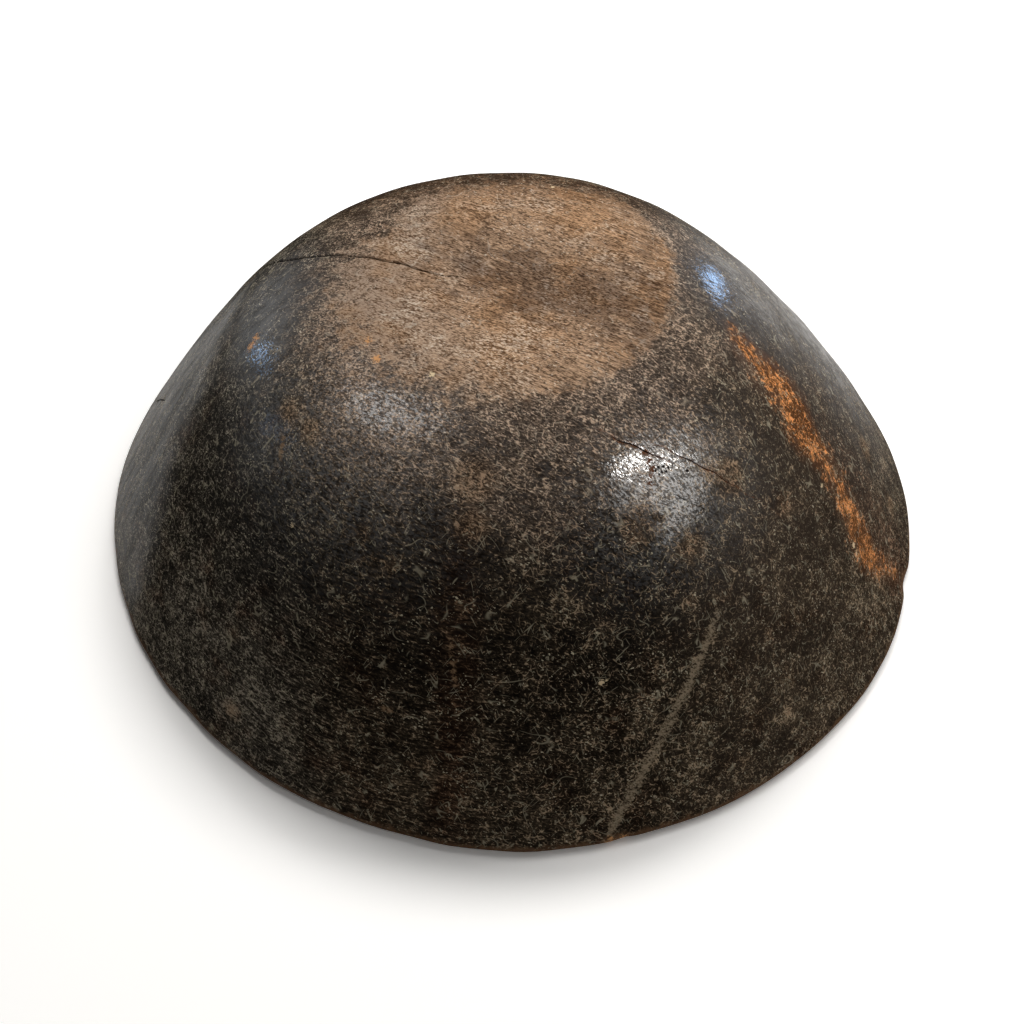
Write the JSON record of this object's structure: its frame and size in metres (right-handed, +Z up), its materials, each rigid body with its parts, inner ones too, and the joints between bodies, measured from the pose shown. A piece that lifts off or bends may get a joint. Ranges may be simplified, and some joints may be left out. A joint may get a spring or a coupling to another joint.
{
  "type": "wooden bowl",
  "caption": "Wooden bowl carved from one block, with a slightly oval mouth, straight flaring wall, round shoulder and small flat foot, standing upside down on its rim.",
  "frame": {"origin": "middle of the oval rim, on the surface that the rim rests on", "axes": "+Z up from the rim to the foot, +X along the grain and the longer side of the mouth, -Y towards the picture's camera"},
  "size_m": [0.2994, 0.2806, 0.112],
  "materials": {
    "patinated_wood": "old near-black brown patina, semi-gloss on the wall, worn to matt brown wood on the foot"
  },
  "bodies": {
    "root": {"bowl": "patinated_wood"}
  },
  "joints": []
}
